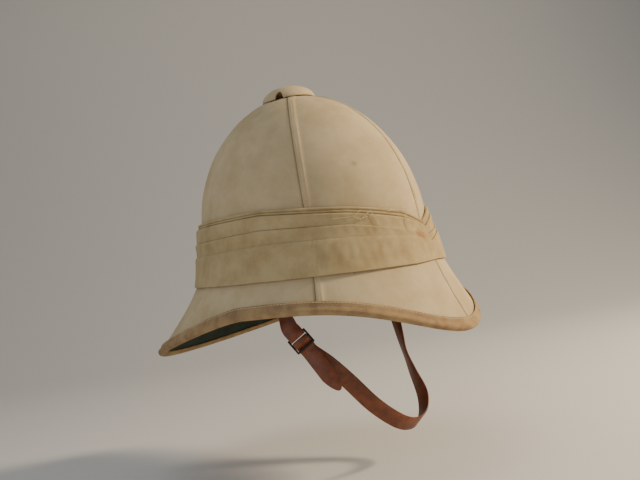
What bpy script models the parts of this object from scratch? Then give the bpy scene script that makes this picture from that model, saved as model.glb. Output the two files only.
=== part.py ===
"""Pith helmet of the foreign-service pattern, built as an assembly of its pieces.

The origin is the centre of the head opening, level with the lower edge of the
wound cloth band. +Z is up, -Y the front peak and -X the wearer's right. Metres.
"""

import bpy
import math
import numpy as np
from mathutils import Vector

# Outer face of the cloth cover
CROWN_HALF_WIDTH = 0.0985
CROWN_HALF_LENGTH = 0.117
CROWN_HEIGHT = 0.137
WAIST_HEIGHT = 0.043
APEX_BACK = 0.005
RIM_HALF_WIDTH = 0.1325
RIM_FRONT = 0.155
RIM_BACK = 0.196
RIM_SIDE_HEIGHT = -0.027
PEAK_HEIGHT = -0.0665
FRONT_PEAK_POWER = 3.4
BACK_PEAK_SOFTNESS = 0.11
FLARE_REACH = 0.3

# Layers, from the outside in
GAP = 0.0003
CLOTH = 0.0009
SHELL = 0.003
SHELL_AT_RIM = 0.0014
LINING = 0.0007
FELL_HEIGHT = 0.0005
FELL_WIDTH = 0.006
FELL_SHOULDER = 0.0048

# Seams and rows of the cover
SEAM_BEARINGS = (-120.0, -64.0, 0.0, 64.0, 120.0, 180.0)
PANEL_COLUMNS = 8
VENT_HOLE_RADIUS = 0.010
CROWN_ROWS = 6
FLARE_HEIGHTS = (0.033, 0.021, 0.008)
MID_BRIM = 0.5
BINDING_WIDTH = 0.0115
RIM_CLEARANCE = 0.0032

# Rolled edge of the binding
ROLL_RADIUS = 0.0036
LEG_CREST = 0.0002
ROLL_TURN = 80.0
BINDING_THICKNESS = 0.0009
ROLL_STEPS = 4

# Wound band: height of each line at five bearings, lifts off the cover
LINE_BEARINGS = (0.0, 16.0, 45.0, 85.0, 130.0)
BAND_LINES = {
    "roll_top": (0.0355, 0.0475, 0.0565, 0.0650, 0.0650),
    "roll_bottom": (0.0300, 0.0405, 0.0510, 0.0600, 0.0600),
    "upper_fold_bottom": (0.0225, 0.0280, 0.0405, 0.0470, 0.0460),
    "middle_fold_bottom": (0.0155, 0.0230, 0.0280, 0.0325, 0.0310),
    "lower_edge": (-0.0015, -0.0025, -0.0015, 0.0010, 0.0030),
}
BAND_SEAT = 0.0012
BAND_EDGE = 0.0026
BAND_SWELL_FRONT = 0.0022
BAND_SWELL_BACK = 0.0052
FOLD_STEP = 0.0012
ROLL_SWELL = 0.0013

# Ventilator button
BUTTON_RADIUS = 0.027
BUTTON_RISE = 0.0118
BUTTON_WALL = 0.0018
BUTTON_SIDES = 24
BUTTON_ROWS = 4
VENT_BEARINGS = (-77.5, 42.5, 162.5)
VENT_WIDTH = 0.0085
VENT_HEIGHT = 0.0085
VENT_SIDES = 6

# Chin strap and its buckle
STRAP_WIDTH = 0.015
STRAP_THICKNESS = 0.0016
STRAP_WALL_BEARING = 86.0
STRAP_WALL_ROOM = 0.0014
STRAP_WALL_HEIGHTS = (0.040, 0.031, 0.022)
BUCKLE_CENTRE = (-0.097, -0.033, -0.054)
BUCKLE_DOWN = (0.30, -0.45, -0.84)
BUCKLE_ACROSS = (0.42, -0.70, 0.57)
BUCKLE_WIDTH = 0.0192
BUCKLE_LENGTH = 0.015
BUCKLE_BAR = 0.0018
BAR_CORNER_ROOM = 0.9

# Strap routes: centre point, then the direction of the strap's front edge
SHORT_ROUTE = (
    ((-0.0990, -0.0120, 0.0020), (-0.05, -0.96, 0.20)),
    ((-0.1010, -0.0170, -0.0160), (-0.20, -0.88, 0.36)),
    ((-0.1010, -0.0220, -0.0300), (-0.10, -0.86, 0.46)),
)
LONG_ROUTE = (
    ((-0.0790, -0.0460, -0.0780), (0.42, -0.70, 0.58)),
    ((-0.0640, -0.0550, -0.0970), (0.42, -0.70, 0.58)),
    ((-0.0470, -0.0690, -0.1240), (0.38, -0.68, 0.63)),
    ((-0.0230, -0.0800, -0.1450), (0.25, -0.66, 0.70)),
    ((0.0020, -0.0830, -0.1520), (0.00, -0.66, 0.75)),
    ((0.0240, -0.0810, -0.1470), (-0.08, -0.80, 0.60)),
    ((0.0400, -0.0750, -0.1330), (-0.15, -0.85, 0.50)),
    ((0.0500, -0.0630, -0.1120), (-0.50, -0.70, 0.50)),
    ((0.0580, -0.0540, -0.0950), (-0.65, -0.55, 0.52)),
    ((0.0700, -0.0450, -0.0770), (-0.45, -0.70, 0.55)),
    ((0.0870, -0.0320, -0.0500), (-0.20, -0.85, 0.45)),
    ((0.0980, -0.0180, -0.0150), (-0.05, -0.95, 0.30)),
)
LOOSE_ROUTE = (
    ((-0.0860, -0.0590, -0.1000), (0.40, -0.72, 0.57)),
    ((-0.0880, -0.0535, -0.0905), (0.40, -0.72, 0.57)),
    ((-0.0905, -0.0465, -0.0780), (0.42, -0.70, 0.57)),
)
LOOSE_TIP_WIDTHS = (0.30, 0.72, 0.92, 1.0)


def shared_material(name, colour, roughness, metallic=0.0):
    """Principled material with the piece's plain colour."""
    material = bpy.data.materials.new(name)
    material.use_nodes = True
    shader = material.node_tree.nodes["Principled BSDF"]
    shader.inputs["Base Color"].default_value = (*colour, 1.0)
    shader.inputs["Roughness"].default_value = roughness
    shader.inputs["Metallic"].default_value = metallic
    material.diffuse_color = (*colour, 1.0)
    return material


def waist_point(bearing):
    """Ellipse where the crown ends and the brim's flare begins."""
    x = CROWN_HALF_WIDTH * np.sin(bearing)
    y = -CROWN_HALF_LENGTH * np.cos(bearing)
    return np.stack([x, y, WAIST_HEIGHT + 0 * x], axis=-1)


def rim_point(bearing):
    """Outermost line of the brim: two half ellipses in plan, dipping to a peak at each end."""
    ahead = np.cos(bearing)
    reach = np.where(ahead > 0, RIM_FRONT, RIM_BACK)
    front_dip = np.maximum(ahead, 0) ** FRONT_PEAK_POWER
    soft = BACK_PEAK_SOFTNESS
    back_dip = np.sqrt(np.minimum(ahead, 0) ** 2 + soft ** 2) - soft
    back_dip = back_dip / (math.sqrt(1 + soft ** 2) - soft)
    z = RIM_SIDE_HEIGHT + (PEAK_HEIGHT - RIM_SIDE_HEIGHT) * (front_dip + back_dip)
    return np.stack([RIM_HALF_WIDTH * np.sin(bearing), -reach * ahead, z], axis=-1)


def flare_control(bearing):
    """Middle control point of the brim's curve, below the waist on the crown's own slope."""
    waist = waist_point(bearing)
    span = np.linalg.norm(rim_point(bearing) - waist, axis=-1, keepdims=True)
    slope = np.array([0.0, -APEX_BACK, -CROWN_HEIGHT])
    return waist + slope / np.linalg.norm(slope) * span * FLARE_REACH


def cover_point(bearing, station):
    """Outer face of the cover. Station 0 is the apex, 1 the waist and 2 the rim."""
    bearing, station = np.broadcast_arrays(bearing, station)
    turn = np.clip(station, 0, 1) * math.pi / 2
    crown = np.stack([
        CROWN_HALF_WIDTH * np.sin(turn) * np.sin(bearing),
        -CROWN_HALF_LENGTH * np.sin(turn) * np.cos(bearing) + APEX_BACK * np.cos(turn),
        WAIST_HEIGHT + CROWN_HEIGHT * np.cos(turn)], axis=-1)
    t = np.clip(station - 1, 0, None)[..., None]
    brim = ((1 - t) ** 2 * waist_point(bearing) + 2 * t * (1 - t) * flare_control(bearing)
            + t ** 2 * rim_point(bearing))
    return np.where(station[..., None] <= 1, crown, brim)


def cover_normal(bearing, station):
    """Outward unit normal, from the surface's two slopes."""
    step = 1e-4
    along = cover_point(bearing, station + step) - cover_point(bearing, station - step)
    around = cover_point(bearing + step, station) - cover_point(bearing - step, station)
    normal = np.cross(along, around)
    return normal / np.linalg.norm(normal, axis=-1, keepdims=True)


def layer_point(bearing, station, lift):
    """Point at a distance off the cover's outer face, outwards positive."""
    lift = np.asarray(lift, dtype=float)[..., None]
    return cover_point(bearing, station) + lift * cover_normal(bearing, station)


def station_at_height(bearing, height):
    """Station where the cover passes a height, on the crown or on the brim's curve."""
    on_crown = 2 / math.pi * np.arccos(np.clip((height - WAIST_HEIGHT) / CROWN_HEIGHT, 0, 1))
    top = waist_point(bearing)[..., 2]
    middle = flare_control(bearing)[..., 2]
    low = rim_point(bearing)[..., 2]
    square = top - 2 * middle + low
    linear = 2 * (middle - top)
    rest = top - np.minimum(height, WAIST_HEIGHT)
    root = np.sqrt(np.maximum(linear ** 2 - 4 * square * rest, 0))
    on_brim = 2 * rest / (-linear + root)
    return np.where(height >= WAIST_HEIGHT, on_crown, 1 + on_brim)


def station_from_rim(bearing, distance):
    """Station at a distance inwards from the rim, along the brim."""
    speed = 2 * np.linalg.norm(rim_point(bearing) - flare_control(bearing), axis=-1)
    return 2 - distance / speed


def row_stations(bearing_rows):
    """Stations of the rows that every layer shares, one array per row."""
    first = math.asin(VENT_HOLE_RADIUS / CROWN_HALF_WIDTH) * 2 / math.pi
    crown = np.linspace(first, 1.0, CROWN_ROWS + 1)
    rows = [np.full(bearing_rows.shape[1], s) for s in crown]
    for height in FLARE_HEIGHTS:
        rows.append(station_at_height(bearing_rows[len(rows)], height))
    inner = station_from_rim(bearing_rows[len(rows)], BINDING_WIDTH)
    rows.append(rows[-1] + (inner - rows[-1]) * MID_BRIM)
    rows.append(inner)
    rows.append(station_from_rim(bearing_rows[-1], RIM_CLEARANCE))
    return np.array(rows)


ROW_COUNT = CROWN_ROWS + 1 + len(FLARE_HEIGHTS) + 3


def row_radii():
    """Mean distance from the helmet's axis of each row, for widths along a row."""
    side = np.full((ROW_COUNT, 1), math.pi / 2)
    points = cover_point(side, row_stations(side))
    return points[:, 0, 0]


def panel_bearings(index, with_fell_shoulder, edge_gap):
    """Bearings of one panel's columns in every row: its fell, then even steps to the next seam."""
    start = math.radians(SEAM_BEARINGS[index])
    end = math.radians(SEAM_BEARINGS[(index + 1) % len(SEAM_BEARINGS)])
    if end <= start:
        end += 2 * math.pi
    rows = []
    for radius in row_radii():
        foot = start + FELL_WIDTH / radius
        columns = [start + edge_gap / radius]
        if with_fell_shoulder:
            columns.append(start + FELL_SHOULDER / radius)
        columns += list(np.linspace(foot, end - edge_gap / radius, PANEL_COLUMNS))
        rows.append(columns)
    return np.array(rows)


def ring_bearings():
    """Bearings of the columns all round the helmet, matching the panels' own."""
    parts = [panel_bearings(i, False, 0.0)[:, :-1] for i in range(len(SEAM_BEARINGS))]
    return np.concatenate(parts, axis=1)


def shell_depth(row):
    """Thickness of the pith at a row, tapering over the brim."""
    share = max(0, row - CROWN_ROWS) / (ROW_COUNT - 1 - CROWN_ROWS)
    return SHELL + (SHELL_AT_RIM - SHELL) * share


def add_mesh(name, points, faces, material):
    """Put an object made of the points and faces into the helmet's collection."""
    mesh = bpy.data.meshes.new(name)
    mesh.from_pydata([tuple(p) for p in points], [], faces)
    mesh.materials.append(material)
    mesh.validate()
    obj = bpy.data.objects.new(name, mesh)
    helmet.objects.link(obj)
    mesh.shade_smooth()
    mesh.set_sharp_from_angle(angle=math.radians(40))
    return obj


def add_surface(name, grid, material, closed):
    """Open sheet through a grid of rows from the top down and columns to the wearer's left."""
    rows, columns = grid.shape[:2]
    faces = []
    for i in range(rows - 1):
        for j in range(columns if closed else columns - 1):
            k = (j + 1) % columns
            faces.append((i * columns + j, (i + 1) * columns + j,
                          (i + 1) * columns + k, i * columns + k))
    return add_mesh(name, grid.reshape(-1, 3), faces, material)


def add_loft(name, sections, material, closed):
    """Solid through closed sections of equal point count, as a ring or with flat ends."""
    count, size = sections.shape[:2]
    faces = []
    for i in range(count if closed else count - 1):
        j = (i + 1) % count
        for k in range(size):
            n = (k + 1) % size
            faces.append((i * size + k, j * size + k, j * size + n, i * size + n))
    if not closed:
        faces.append(tuple(range(size)))
        faces.append(tuple(reversed(range((count - 1) * size, count * size))))
    return add_mesh(name, sections.reshape(-1, 3), faces, material)


def thicken(obj, thickness, group_weights=None):
    """Solidify the sheet inwards; weights scale the thickness point by point."""
    solid = obj.modifiers.new("wall", "SOLIDIFY")
    solid.thickness = thickness
    solid.offset = -1.0
    solid.use_even_offset = True
    if group_weights is not None:
        group = obj.vertex_groups.new(name="wall")
        for index, weight in enumerate(group_weights):
            group.add([index], float(weight), "REPLACE")
        solid.vertex_group = group.name


def build_shell(material):
    """Pith hat body under the cover, open at the head and at the ventilator."""
    bearings = ring_bearings()
    grid = layer_point(bearings, row_stations(bearings), -(CLOTH + GAP))
    shell = add_surface("pith_shell", grid, material, closed=True)
    weights = [shell_depth(i) / SHELL for i in range(ROW_COUNT) for _ in bearings[0]]
    thicken(shell, SHELL, weights)


def build_panels(material):
    """Six cloth panels. Each one's edge laps its neighbour in a raised fell."""
    for index in range(len(SEAM_BEARINGS)):
        bearings = panel_bearings(index, True, GAP / 2)
        lift = np.zeros(bearings.shape)
        lift[:, :2] = FELL_HEIGHT
        grid = layer_point(bearings, row_stations(bearings), lift)
        panel = add_surface(f"cover_panel_{index + 1}", grid, material, closed=False)
        thicken(panel, CLOTH)


def build_lining(material):
    """Green cloth on the brim's underside, from the head opening to the rim."""
    bearings = ring_bearings()
    first = CROWN_ROWS + len(FLARE_HEIGHTS)
    depths = [CLOTH + shell_depth(i) + 2 * GAP for i in range(first, ROW_COUNT)]
    stations = row_stations(bearings)[first:]
    grid = layer_point(bearings[first:], stations, -np.array(depths)[:, None])
    lining = add_surface("brim_lining", grid, material, closed=True)
    thicken(lining, LINING)


def build_binding(material):
    """Strip folded round the brim's edge: a flat leg above, a roll, a short leg below."""
    bearing = ring_bearings()[-1]
    rim = rim_point(bearing)
    normal = cover_normal(bearing, np.full(bearing.shape, 2.0))
    outward = rim - flare_control(bearing)
    outward /= np.linalg.norm(outward, axis=-1, keepdims=True)
    stack = CLOTH + SHELL_AT_RIM + LINING + 2 * GAP
    centre = -stack / 2
    leg_top = FELL_HEIGHT + GAP + BINDING_THICKNESS
    crest = leg_top + LEG_CREST
    profile = [(BINDING_WIDTH, crest), (0.0078, crest), (0.0060, leg_top)]
    for step in range(ROLL_STEPS):
        turn = math.radians(ROLL_TURN * (1 - 2 * step / (ROLL_STEPS - 1)))
        profile.append((ROLL_RADIUS * (1 - math.cos(turn)),
                        centre + ROLL_RADIUS * math.sin(turn)))
    profile.append((0.0090, -stack - GAP - BINDING_THICKNESS))
    rows = [rim - outward * inset + normal * height for inset, height in profile]
    binding = add_surface("brim_binding", np.array(rows), material, closed=True)
    thicken(binding, BINDING_THICKNESS)


def line_height(name, bearing):
    """Height of a fold line of the band at each bearing, alike on both sides."""
    around = np.abs(np.degrees((bearing + math.pi) % (2 * math.pi) - math.pi))
    return np.interp(around, LINE_BEARINGS, BAND_LINES[name])


def band_lift(bearing, height):
    """How far the wound band stands off the cover, fullest midway up and at the back."""
    low = line_height("lower_edge", bearing)
    high = line_height("roll_top", bearing)
    share = np.clip((height - low) / (high - low), 0, 1)
    back = (1 - np.cos(bearing)) / 2
    swell = BAND_SWELL_FRONT + (BAND_SWELL_BACK - BAND_SWELL_FRONT) * back
    return BAND_EDGE + swell * np.sin(math.pi * share)


def band_row(bearing, height, lift):
    """Points of the band at a height, at a distance off the cover."""
    return layer_point(bearing, station_at_height(bearing, height), lift)


def build_fold(name, upper_line, lower_line, material):
    """One shingled fold: proud at its upper edge and sinking under the next one below."""
    bearing = ring_bearings()[CROWN_ROWS]
    upper = line_height(upper_line, bearing) - GAP / 2
    lower = line_height(lower_line, bearing) + GAP / 2
    seat = np.full(bearing.shape, BAND_SEAT)
    middle = (upper + lower) / 2
    rows = [
        band_row(bearing, lower, seat),
        band_row(bearing, middle, seat),
        band_row(bearing, upper, seat),
        band_row(bearing, upper, band_lift(bearing, upper) + FOLD_STEP * 0.7),
        band_row(bearing, upper - (upper - lower) * 0.14, band_lift(bearing, upper) + FOLD_STEP),
        band_row(bearing, middle, band_lift(bearing, middle) + FOLD_STEP * 0.4),
        band_row(bearing, lower, band_lift(bearing, lower)),
    ]
    add_loft(name, np.swapaxes(np.array(rows[::-1]), 0, 1), material, closed=True)


def build_top_roll(material):
    """Double roll along the band's upper edge."""
    bearing = ring_bearings()[CROWN_ROWS]
    upper = line_height("roll_top", bearing)
    lower = line_height("roll_bottom", bearing) + GAP / 2
    seat = np.full(bearing.shape, BAND_SEAT)
    rows = [band_row(bearing, lower, seat), band_row(bearing, upper, seat)]
    for share, swell in ((1.0, 0.1), (0.88, 1.0), (0.65, 1.0), (0.5, 0.35), (0.3, 0.9), (0.0, 0.35)):
        height = lower + (upper - lower) * share
        rows.append(band_row(bearing, height, BAND_EDGE + ROLL_SWELL * swell + seat * 0))
    add_loft("pugaree_top_roll", np.swapaxes(np.array(rows[::-1]), 0, 1), material, closed=True)


def crown_height_at(x, y):
    """Height of the crown over a point in plan."""
    inside = 1 - (x / CROWN_HALF_WIDTH) ** 2 - ((y - APEX_BACK) / CROWN_HALF_LENGTH) ** 2
    return WAIST_HEIGHT + CROWN_HEIGHT * math.sqrt(inside)


def build_ventilator(material):
    """Hollow button whose hem follows the crown, with three arched vents cut in it."""
    top = WAIST_HEIGHT + CROWN_HEIGHT + BUTTON_RISE
    points = [(0.0, APEX_BACK, top)]
    for row in range(1, BUTTON_ROWS + 1):
        turn = math.pi / 2 * row / BUTTON_ROWS
        for side in range(BUTTON_SIDES):
            bearing = 2 * math.pi * side / BUTTON_SIDES
            seat = BUTTON_RADIUS - BUTTON_WALL
            hem = crown_height_at(seat * math.sin(bearing), APEX_BACK - seat * math.cos(bearing))
            hem += FELL_HEIGHT + GAP
            radius = BUTTON_RADIUS * math.sin(turn)
            points.append((radius * math.sin(bearing), APEX_BACK - radius * math.cos(bearing),
                           hem + (top - hem) * math.cos(turn)))
    faces = [(0, 1 + side, 1 + (side + 1) % BUTTON_SIDES) for side in range(BUTTON_SIDES)]
    for row in range(BUTTON_ROWS - 1):
        above = 1 + row * BUTTON_SIDES
        below = above + BUTTON_SIDES
        for side in range(BUTTON_SIDES):
            after = (side + 1) % BUTTON_SIDES
            faces.append((above + side, below + side, below + after, above + after))
    cap = add_mesh("ventilator_cap", points, faces, material)
    thicken(cap, BUTTON_WALL)
    for number, bearing in enumerate(VENT_BEARINGS):
        cut = cap.modifiers.new(f"vent_{number + 1}", "BOOLEAN")
        cut.operation = "DIFFERENCE"
        cut.solver = "EXACT"
        cut.object = vent_cutter(f"vent_cutter_{number + 1}", math.radians(bearing))


def vent_cutter(name, bearing):
    """Arch-shaped bar pointing out from the button's axis at a bearing."""
    radial = Vector((math.sin(bearing), -math.cos(bearing), 0))
    sideways = Vector((math.cos(bearing), math.sin(bearing), 0))
    reach = BUTTON_RADIUS * 1.3
    start = BUTTON_RADIUS * 0.5
    edge = BUTTON_RADIUS * radial
    hem = crown_height_at(edge.x, APEX_BACK + edge.y)
    outline = [(-VENT_WIDTH / 2, -BUTTON_RISE / 2), (VENT_WIDTH / 2, -BUTTON_RISE / 2)]
    for step in range(VENT_SIDES + 1):
        turn = math.pi * step / VENT_SIDES
        outline.append((VENT_WIDTH / 2 * math.cos(turn), VENT_HEIGHT * math.sin(turn)))
    sections = []
    for distance in (reach, start):
        sections.append([tuple(radial * distance + sideways * across
                               + Vector((0, APEX_BACK, hem + up))) for across, up in outline])
    cutter = add_loft(name, np.array(sections), guide_material, closed=False)
    helmet.objects.unlink(cutter)
    cutters.objects.link(cutter)
    cutter.hide_render = True
    cutter.display_type = "WIRE"
    return cutter


def unit(vector):
    """Vector of length one along the given one."""
    vector = np.array(vector, dtype=float)
    return vector / np.linalg.norm(vector)


def smooth_route(points, steps):
    """Curve through every point, with even cubic stretches between neighbours."""
    points = np.array(points, dtype=float)
    padded = np.vstack([2 * points[0] - points[1], points, 2 * points[-1] - points[-2]])
    curve = []
    for i in range(len(points) - 1):
        a, b, c, d = padded[i:i + 4]
        for step in range(steps):
            t = step / steps
            curve.append(0.5 * (2 * b + (c - a) * t + (2 * a - 5 * b + 4 * c - d) * t ** 2
                                + (3 * b - a - 3 * c + d) * t ** 3))
    curve.append(points[-1])
    return np.array(curve)


def buckle_axes():
    """Unit directions of the buckle: down the strap, across it and out of its face."""
    down = unit(BUCKLE_DOWN)
    out = unit(np.cross(down, BUCKLE_ACROSS))
    return down, np.cross(out, down), out


def at_buckle(down_strap, out_of_face):
    """Route entry at a place in the buckle's lengthwise plane."""
    down, across, out = buckle_axes()
    point = np.array(BUCKLE_CENTRE) + down * down_strap + out * out_of_face
    return tuple(point), tuple(across)


def wall_entry(side, height):
    """Route entry where the strap lies flat inside the shell, stitched to its wall."""
    bearing = np.array(side * math.radians(STRAP_WALL_BEARING))
    depth = CLOTH + SHELL + STRAP_WALL_ROOM + STRAP_THICKNESS / 2
    station = station_at_height(bearing, height)
    point = layer_point(bearing, station, -depth)
    front = cover_point(bearing - side * 0.01, station) - cover_point(bearing, station)
    return tuple(point), tuple(unit(front))


def build_strap(name, entries, material, steps, end_widths=()):
    """Flat strap along a route, as a loft of thin rectangles across it."""
    centres = smooth_route([entry[0] for entry in entries], steps)
    fronts = smooth_route([entry[1] for entry in entries], steps)
    ahead = np.gradient(centres, axis=0)
    ahead /= np.linalg.norm(ahead, axis=1, keepdims=True)
    fronts -= ahead * np.sum(fronts * ahead, axis=1, keepdims=True)
    fronts /= np.linalg.norm(fronts, axis=1, keepdims=True)
    faces_out = np.cross(ahead, fronts)
    widths = np.full((len(centres), 1), STRAP_WIDTH / 2)
    widths[:len(end_widths), 0] *= end_widths
    half = STRAP_THICKNESS / 2
    sections = [centres + fronts * widths * u + faces_out * half * v
                for u, v in ((1, 1), (1, -1), (-1, -1), (-1, 1))]
    add_loft(name, np.swapaxes(np.array(sections), 0, 1), material, closed=False)


def build_straps(material):
    """Short strap looped on the buckle's top bar, long strap round its middle bar."""
    bar = BUCKLE_BAR / 2
    round_bar = bar + GAP + STRAP_THICKNESS / 2
    bar_place = BUCKLE_LENGTH / 2 - bar
    half_step = (STRAP_THICKNESS + GAP) / 2
    diagonal = round_bar * BAR_CORNER_ROOM

    short = [wall_entry(-1, height) for height in STRAP_WALL_HEIGHTS]
    short += SHORT_ROUTE
    short += [at_buckle(-0.0150, half_step), at_buckle(-bar_place - 0.0018, round_bar),
              at_buckle(-bar_place, round_bar),
              at_buckle(-bar_place + diagonal, diagonal),
              at_buckle(-bar_place + round_bar, 0.0),
              at_buckle(-bar_place + diagonal, -diagonal),
              at_buckle(-bar_place, -round_bar), at_buckle(-bar_place - 0.0025, -round_bar),
              at_buckle(-0.0135, -half_step - 0.0004)]
    build_strap("chin_strap_short", short, material, steps=2)

    under = round_bar + STRAP_THICKNESS + GAP
    long = list(LOOSE_ROUTE)
    long += [at_buckle(0.0130, -round_bar - 0.0002), at_buckle(bar_place + 0.0012, -round_bar),
             at_buckle(bar_place - 0.0016, -round_bar * 0.9), at_buckle(bar_place * 0.5, 0.0),
             at_buckle(0.0012, round_bar), at_buckle(-diagonal, diagonal),
             at_buckle(-round_bar, 0.0), at_buckle(-diagonal, -diagonal),
             at_buckle(0.0012, -round_bar - 0.0003), at_buckle(bar_place * 0.6, -under),
             at_buckle(bar_place + 0.0010, -under - 0.0002), at_buckle(0.0140, -under - 0.0016)]
    long += LONG_ROUTE
    long += [wall_entry(1, height) for height in reversed(STRAP_WALL_HEIGHTS)]
    build_strap("chin_strap_long", long, material, steps=2, end_widths=LOOSE_TIP_WIDTHS)


def build_buckle(material):
    """Flat slide: a round-cornered plate with two windows, drawn as one outline."""
    outline = bpy.data.curves.new("strap_buckle", "CURVE")
    outline.dimensions = "2D"
    outline.fill_mode = "BOTH"
    outline.extrude = BUCKLE_BAR / 2
    half_width = BUCKLE_WIDTH / 2
    half_length = BUCKLE_LENGTH / 2
    window = (BUCKLE_LENGTH - 3 * BUCKLE_BAR) / 2
    corner = BUCKLE_BAR * 0.6
    boxes = [(-half_width, -half_length, half_width, half_length, corner)]
    for low in (-window - BUCKLE_BAR / 2, BUCKLE_BAR / 2):
        inner = half_width - BUCKLE_BAR
        boxes.append((-inner, low, inner, low + window, corner / 3))
    for left, bottom, right, top, cut in boxes:
        corners = [(left + cut, bottom), (right - cut, bottom), (right, bottom + cut),
                   (right, top - cut), (right - cut, top), (left + cut, top),
                   (left, top - cut), (left, bottom + cut)]
        spline = outline.splines.new("POLY")
        spline.points.add(len(corners) - 1)
        for point, (x, y) in zip(spline.points, corners):
            point.co = (x, y, 0, 1)
        spline.use_cyclic_u = True
    outline.materials.append(material)
    buckle = bpy.data.objects.new("strap_buckle", outline)
    helmet.objects.link(buckle)
    down, across, out = buckle_axes()
    buckle.location = BUCKLE_CENTRE
    frame = np.stack([across, np.cross(out, across), out], axis=1)
    turn = bpy.data.objects.new("buckle_turn", None).matrix_world.to_3x3()
    for row in range(3):
        turn[row] = frame[row]
    buckle.rotation_euler = turn.to_euler()


for old in list(bpy.data.objects):
    bpy.data.objects.remove(old, do_unlink=True)
helmet = bpy.data.collections.new("pith_helmet")
cutters = bpy.data.collections.new("cutters")
for collection in (helmet, cutters):
    bpy.context.scene.collection.children.link(collection)

drill = shared_material("khaki_drill", (0.52, 0.43, 0.29), 0.9)
muslin = shared_material("pugaree_muslin", (0.50, 0.40, 0.26), 0.92)
pith = shared_material("pressed_pith", (0.55, 0.42, 0.27), 0.95)
tape = shared_material("binding_tape", (0.42, 0.31, 0.19), 0.9)
green = shared_material("green_lining", (0.02, 0.05, 0.03), 0.9)
leather = shared_material("brown_leather", (0.20, 0.075, 0.035), 0.5)
japanned = shared_material("black_buckle", (0.015, 0.014, 0.013), 0.35, 0.6)
guide_material = shared_material("guide", (0.5, 0.5, 0.5), 1.0)

build_shell(pith)
build_panels(drill)
build_ventilator(drill)
build_top_roll(muslin)
build_fold("pugaree_fold_upper", "roll_bottom", "upper_fold_bottom", muslin)
build_fold("pugaree_fold_middle", "upper_fold_bottom", "middle_fold_bottom", muslin)
build_fold("pugaree_fold_lower", "middle_fold_bottom", "lower_edge", muslin)
build_binding(tape)
build_lining(green)
build_straps(leather)
build_buckle(japanned)
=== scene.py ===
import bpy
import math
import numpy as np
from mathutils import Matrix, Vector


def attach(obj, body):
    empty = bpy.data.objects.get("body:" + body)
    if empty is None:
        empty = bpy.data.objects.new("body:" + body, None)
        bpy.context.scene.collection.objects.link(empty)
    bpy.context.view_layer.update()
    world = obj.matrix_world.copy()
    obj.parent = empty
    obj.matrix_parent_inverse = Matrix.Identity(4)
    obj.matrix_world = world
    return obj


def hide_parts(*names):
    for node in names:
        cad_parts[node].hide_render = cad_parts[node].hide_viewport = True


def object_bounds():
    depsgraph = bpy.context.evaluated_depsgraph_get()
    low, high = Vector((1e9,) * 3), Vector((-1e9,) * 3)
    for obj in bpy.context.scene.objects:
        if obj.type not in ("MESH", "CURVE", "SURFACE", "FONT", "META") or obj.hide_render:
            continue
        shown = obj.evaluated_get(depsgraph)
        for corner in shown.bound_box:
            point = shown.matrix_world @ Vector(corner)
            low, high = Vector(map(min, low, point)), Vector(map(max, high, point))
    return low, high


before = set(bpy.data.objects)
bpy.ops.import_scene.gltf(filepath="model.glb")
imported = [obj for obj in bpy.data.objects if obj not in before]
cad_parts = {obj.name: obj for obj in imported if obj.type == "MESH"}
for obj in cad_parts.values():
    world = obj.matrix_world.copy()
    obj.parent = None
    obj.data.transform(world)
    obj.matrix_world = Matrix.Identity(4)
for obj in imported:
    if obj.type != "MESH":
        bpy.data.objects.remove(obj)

# %% [markdown]
# # Pith helmet
# Every piece is a surface worked out from the helmet's own plan: a crown that is
# a quarter ellipse from apex to waist, and a brim that is a three-point curve from
# the waist to a rim dipping to a peak front and back. Layers are offsets from it.

LOW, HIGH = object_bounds()

# Steps between the plan's own rows and columns, for each kind of piece
DENSE = 6
SHELL_DENSE = 3
BAND_DENSE = 8

# Cloth: share of its wall thickness, how uneven it has become, and the band's rows
CLOTH_WALL_SHARE = 0.9
PUCKER = 0.00018
PUCKER_PITCH = 0.0042
DENT = 0.0005
FINE_GATHER = 0.00016
BROAD_GATHER = 0.00022
FOLD_WAVER = 0.0004
BINDING_RIPPLE = 0.00012
FOLD_ROWS = 14
ROLL_ROWS = 17
ROLL_SINK = 0.0004

# Strap section as shares of half its width and half its thickness, corners eased
EASED = 0.93
STRAP_SECTION = ((1, 0.5), (1, -0.5), (EASED, -1), (-EASED, -1),
                 (-1, -0.5), (-1, 0.5), (-EASED, 1), (EASED, 1))
TIP_SECTIONS = 14
BAR_SIDES = 16

# Thread
STITCH_LENGTH = 0.0021
STITCH_PITCH = 0.0031
STITCH_RADIUS = 0.00032
FRAY_RADIUS = 0.00026
FRAY_STAND_OFF = 0.0062

# Outer face of the cloth cover
CROWN_HALF_WIDTH = 0.0985
CROWN_HALF_LENGTH = 0.117
CROWN_HEIGHT = 0.137
WAIST_HEIGHT = 0.043
APEX_BACK = 0.005
RIM_HALF_WIDTH = 0.1325
RIM_FRONT = 0.155
RIM_BACK = 0.196
RIM_SIDE_HEIGHT = -0.027
PEAK_HEIGHT = -0.0665
FRONT_PEAK_POWER = 3.4
BACK_PEAK_SOFTNESS = 0.11
FLARE_REACH = 0.3

# Layers, from the outside in
GAP = 0.0003
CLOTH = 0.0009
SHELL = 0.003
SHELL_AT_RIM = 0.0014
LINING = 0.0007
FELL_HEIGHT = 0.0005
FELL_WIDTH = 0.006
FELL_SHOULDER = 0.0048

# Seams and rows of the cover
SEAM_BEARINGS = (-120.0, -64.0, 0.0, 64.0, 120.0, 180.0)
PANEL_COLUMNS = 8
VENT_HOLE_RADIUS = 0.010
CROWN_ROWS = 6
FLARE_HEIGHTS = (0.033, 0.021, 0.008)
MID_BRIM = 0.5
BINDING_WIDTH = 0.0115
RIM_CLEARANCE = 0.0032

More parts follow.
